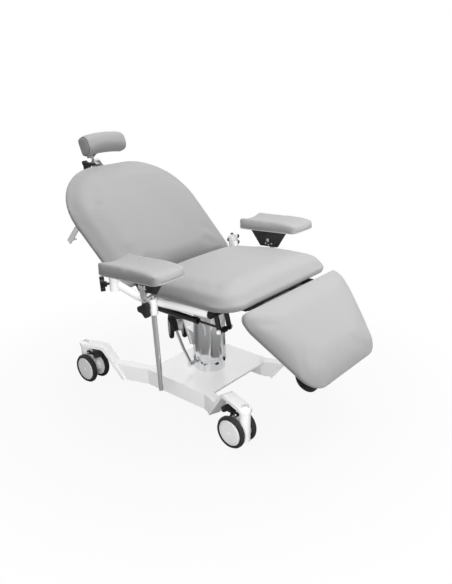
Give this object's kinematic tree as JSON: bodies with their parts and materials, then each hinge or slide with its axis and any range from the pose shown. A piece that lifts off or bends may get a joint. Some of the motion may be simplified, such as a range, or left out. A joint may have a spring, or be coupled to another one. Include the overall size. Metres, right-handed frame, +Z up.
{
  "type": "hydraulic eeg chair",
  "caption": "Reclining clinic chair on braked twin-wheel casters with a pump column, hinged backrest and legrest, adjustable headrest and side armrests",
  "frame": {"origin": "on the floor under the middle of the chair's length and width", "axes": "+X towards the patient's feet, +Y to the patient's left, +Z up"},
  "size_m": [1.368, 0.968, 1.0183],
  "materials": {
    "white_paint": "smooth powder coat",
    "chrome": "polished",
    "black_plastic": "fine grain",
    "grey_vinyl": "smooth vinyl",
    "black_rubber": "matte",
    "grey_plastic": "satin",
    "steel": "ground",
    "tyre_rubber": "matte",
    "white_plastic": "fine grain",
    "black_paint": "satin black"
  },
  "bodies": {
    "base": {"base_plate": "white_paint", "side_frame_right": "white_paint", "side_frame_left": "white_paint", "caster_caps": "white_paint", "column": "chrome", "hydraulic_cylinder": "steel"},
    "caster_front_right": {"caster_front_right_fork": "white_plastic"},
    "wheels_front_right": {"caster_front_right_tyres": "tyre_rubber", "caster_front_right_discs": "grey_plastic"},
    "brake_front_right": {"caster_front_right_brake": "black_plastic"},
    "caster_rear_right": {"caster_rear_right_fork": "white_plastic"},
    "wheels_rear_right": {"caster_rear_right_tyres": "tyre_rubber", "caster_rear_right_discs": "grey_plastic"},
    "brake_rear_right": {"caster_rear_right_brake": "black_plastic"},
    "caster_front_left": {"caster_front_left_fork": "white_plastic"},
    "wheels_front_left": {"caster_front_left_tyres": "tyre_rubber", "caster_front_left_discs": "grey_plastic"},
    "brake_front_left": {"caster_front_left_brake": "black_plastic"},
    "caster_rear_left": {"caster_rear_left_fork": "white_plastic"},
    "wheels_rear_left": {"caster_rear_left_tyres": "tyre_rubber", "caster_rear_left_discs": "grey_plastic"},
    "brake_rear_left": {"caster_rear_left_brake": "black_plastic"},
    "pump": {"pump_lever": "chrome", "pump_grip": "black_rubber"},
    "lift": {"lift_ram": "chrome", "lift_head": "white_paint", "seat_frame": "black_paint", "seat_cushion": "grey_vinyl", "rail_right": "white_paint", "rail_left": "white_paint", "pole_sockets": "white_paint", "rail_caps": "black_plastic", "gas_fork": "black_paint"},
    "backrest": {"backrest_frame": "white_paint", "backrest_cushion": "grey_vinyl", "roll_holder": "white_paint", "headrest_clamp": "chrome"},
    "legrest": {"legrest_frame": "black_paint", "legrest_cushion": "grey_vinyl", "legrest_bumpers": "black_rubber"},
    "gas_cylinder": {"gas_cylinder": "black_paint"},
    "gas_rod": {"gas_rod": "black_paint"},
    "leg_gas_cylinder": {"leg_gas_cylinder": "black_paint"},
    "leg_gas_rod": {"leg_gas_rod": "black_paint"},
    "headrest_stem": {"headrest_stem": "chrome"},
    "headrest": {"headrest_pad": "grey_vinyl", "headrest_bracket": "chrome"},
    "headrest_knob": {"headrest_knob": "black_plastic"},
    "clamp_knob_right": {"clamp_knob_right": "black_plastic"},
    "socket_knob_right": {"socket_knob_right": "black_plastic"},
    "arm_post_right": {"arm_post_right": "chrome"},
    "arm_swivel_right": {"arm_clevis_right": "chrome"},
    "armrest_right": {"arm_bracket_right": "black_paint", "arm_pad_right": "grey_vinyl"},
    "clamp_knob_left": {"clamp_knob_left": "black_plastic"},
    "socket_knob_left": {"socket_knob_left": "black_plastic"},
    "arm_post_left": {"arm_post_left": "chrome"},
    "arm_swivel_left": {"arm_clevis_left": "chrome"},
    "armrest_left": {"arm_bracket_left": "black_paint", "arm_pad_left": "grey_vinyl"}
  },
  "joints": [
    {"name": "front_right_swivel", "type": "hinge", "parent": "base", "child": "caster_front_right", "pos_m": [0.423, -0.26808, 0.151], "axis": [0, 0, 1], "continuous": true},
    {"name": "front_right_roll", "type": "hinge", "parent": "caster_front_right", "child": "wheels_front_right", "pos_m": [0.38502, -0.26676, 0.0625], "axis": [0.0349, 0.9994, 0], "continuous": true},
    {"name": "front_right_brake_pedal", "type": "hinge", "parent": "caster_front_right", "child": "brake_front_right", "pos_m": [0.39202, -0.267, 0.128], "axis": [0.0349, 0.9994, 0], "range_deg": [-8, 0]},
    {"name": "rear_right_swivel", "type": "hinge", "parent": "base", "child": "caster_rear_right", "pos_m": [-0.446, -0.28426, 0.151], "axis": [0, 0, 1], "continuous": true},
    {"name": "rear_right_roll", "type": "hinge", "parent": "caster_rear_right", "child": "wheels_rear_right", "pos_m": [-0.408, -0.28426, 0.0625], "axis": [0, -1, 0], "continuous": true},
    {"name": "rear_right_brake_pedal", "type": "hinge", "parent": "caster_rear_right", "child": "brake_rear_right", "pos_m": [-0.415, -0.28426, 0.128], "axis": [0, -1, 0], "range_deg": [-8, 0]},
    {"name": "front_left_swivel", "type": "hinge", "parent": "base", "child": "caster_front_left", "pos_m": [0.423, 0.26808, 0.151], "axis": [0, 0, 1], "continuous": true},
    {"name": "front_left_roll", "type": "hinge", "parent": "caster_front_left", "child": "wheels_front_left", "pos_m": [0.38729, 0.28108, 0.0625], "axis": [0.342, 0.9397, 0], "continuous": true},
    {"name": "front_left_brake_pedal", "type": "hinge", "parent": "caster_front_left", "child": "brake_front_left", "pos_m": [0.39387, 0.27869, 0.128], "axis": [0.342, 0.9397, 0], "range_deg": [-8, 0]},
    {"name": "rear_left_swivel", "type": "hinge", "parent": "base", "child": "caster_rear_left", "pos_m": [-0.446, 0.28426, 0.151], "axis": [0, 0, 1], "continuous": true},
    {"name": "rear_left_roll", "type": "hinge", "parent": "caster_rear_left", "child": "wheels_rear_left", "pos_m": [-0.41647, 0.26035, 0.0625], "axis": [-0.6293, -0.7771, 0], "continuous": true},
    {"name": "rear_left_brake_pedal", "type": "hinge", "parent": "caster_rear_left", "child": "brake_rear_left", "pos_m": [-0.42191, 0.26476, 0.128], "axis": [-0.6293, -0.7771, 0], "range_deg": [-8, 0]},
    {"name": "pump_stroke", "type": "hinge", "parent": "base", "child": "pump", "pos_m": [-0.002, -0.09, 0.127], "axis": [0, 1, 0], "range_deg": [-25, 0], "stiffness_Nm_per_rad": 5, "springref_deg": 22.92},
    {"name": "lift_slide", "type": "slide", "parent": "base", "child": "lift", "axis": [0, 0, 1], "range_m": [0, 0.2]},
    {"name": "backrest_recline", "type": "hinge", "parent": "lift", "child": "backrest", "pos_m": [-0.1469, 0, 0.46657], "axis": [0, 1, 0], "range_deg": [-34, 18]},
    {"name": "legrest_raise", "type": "hinge", "parent": "lift", "child": "legrest", "pos_m": [0.4024, 0, 0.5098], "axis": [0, 1, 0], "range_deg": [-47.5, 20]},
    {"name": "gas_rod_pivot", "type": "hinge", "parent": "lift", "child": "gas_rod", "pos_m": [0.30085, -0.235, 0.42357], "axis": [0, 1, 0], "range_deg": [-3, 5]},
    {"name": "gas_cylinder_pivot", "type": "hinge", "parent": "backrest", "child": "gas_cylinder", "pos_m": [-0.10885, -0.235, 0.4164], "axis": [0, 1, 0], "range_deg": [-22, 40]},
    {"name": "leg_gas_cylinder_pivot", "type": "hinge", "parent": "lift", "child": "leg_gas_cylinder", "pos_m": [0.08768, 0.152, 0.4429], "axis": [0, 1, 0], "range_deg": [-2, 2]},
    {"name": "leg_gas_rod_pivot", "type": "hinge", "parent": "legrest", "child": "leg_gas_rod", "pos_m": [0.40507, 0.152, 0.4759], "axis": [0, 1, 0], "range_deg": [-22, 49]},
    {"name": "headrest_height", "type": "slide", "parent": "backrest", "child": "headrest_stem", "axis": [-0.7431, 0, 0.6691], "range_m": [-0.015, 0.07]},
    {"name": "headrest_tilt", "type": "hinge", "parent": "headrest_stem", "child": "headrest", "pos_m": [-0.67305, 0, 0.9134], "axis": [0, 1, 0], "range_deg": [-20, 15]},
    {"name": "headrest_knob_turn", "type": "hinge", "parent": "backrest", "child": "headrest_knob", "pos_m": [-0.6359, -0.04, 0.87995], "axis": [0, -1, 0], "continuous": true},
    {"name": "clamp_knob_right_turn", "type": "hinge", "parent": "lift", "child": "clamp_knob_right", "pos_m": [0.03716, -0.359, 0.47303], "axis": [0, -1, 0], "continuous": true},
    {"name": "socket_knob_right_turn", "type": "hinge", "parent": "lift", "child": "socket_knob_right", "pos_m": [-0.13605, -0.357, 0.53262], "axis": [-0.6, -0.7986, -0.0472], "continuous": true},
    {"name": "arm_right_height", "type": "slide", "parent": "lift", "child": "arm_post_right", "axis": [-0.0785, 0, 0.9969], "range_m": [0, 0.12]},
    {"name": "arm_right_swivel", "type": "hinge", "parent": "arm_post_right", "child": "arm_swivel_right", "pos_m": [0.03449, -0.329, 0.50692], "axis": [0.0785, 0, -0.9969], "range_deg": [-10, 35]},
    {"name": "arm_right_tilt", "type": "hinge", "parent": "arm_swivel_right", "child": "armrest_right", "pos_m": [0.05439, -0.392, 0.57269], "axis": [0, 1, 0], "range_deg": [-10, 10]},
    {"name": "clamp_knob_left_turn", "type": "hinge", "parent": "lift", "child": "clamp_knob_left", "pos_m": [0.03716, 0.359, 0.47303], "axis": [0, 1, 0], "continuous": true},
    {"name": "socket_knob_left_turn", "type": "hinge", "parent": "lift", "child": "socket_knob_left", "pos_m": [-0.13605, 0.357, 0.53262], "axis": [-0.6, 0.7986, -0.0472], "continuous": true},
    {"name": "arm_left_height", "type": "slide", "parent": "lift", "child": "arm_post_left", "axis": [-0.0785, 0, 0.9969], "range_m": [0, 0.12]},
    {"name": "arm_left_swivel", "type": "hinge", "parent": "arm_post_left", "child": "arm_swivel_left", "pos_m": [0.03449, 0.329, 0.50692], "axis": [-0.0785, 0, 0.9969], "range_deg": [-10, 35]},
    {"name": "arm_left_tilt", "type": "hinge", "parent": "arm_swivel_left", "child": "armrest_left", "pos_m": [0.05439, 0.392, 0.57269], "axis": [0, 1, 0], "range_deg": [-10, 10]}
  ],
  "couplings": [
    {"joint": "gas_rod_pivot", "follows": "backrest_recline", "ratio": -0.1053},
    {"joint": "gas_cylinder_pivot", "follows": "backrest_recline", "ratio": -1.1053},
    {"joint": "leg_gas_cylinder_pivot", "follows": "legrest_raise", "ratio": 0.0206},
    {"joint": "leg_gas_rod_pivot", "follows": "legrest_raise", "ratio": -0.9794}
  ]
}
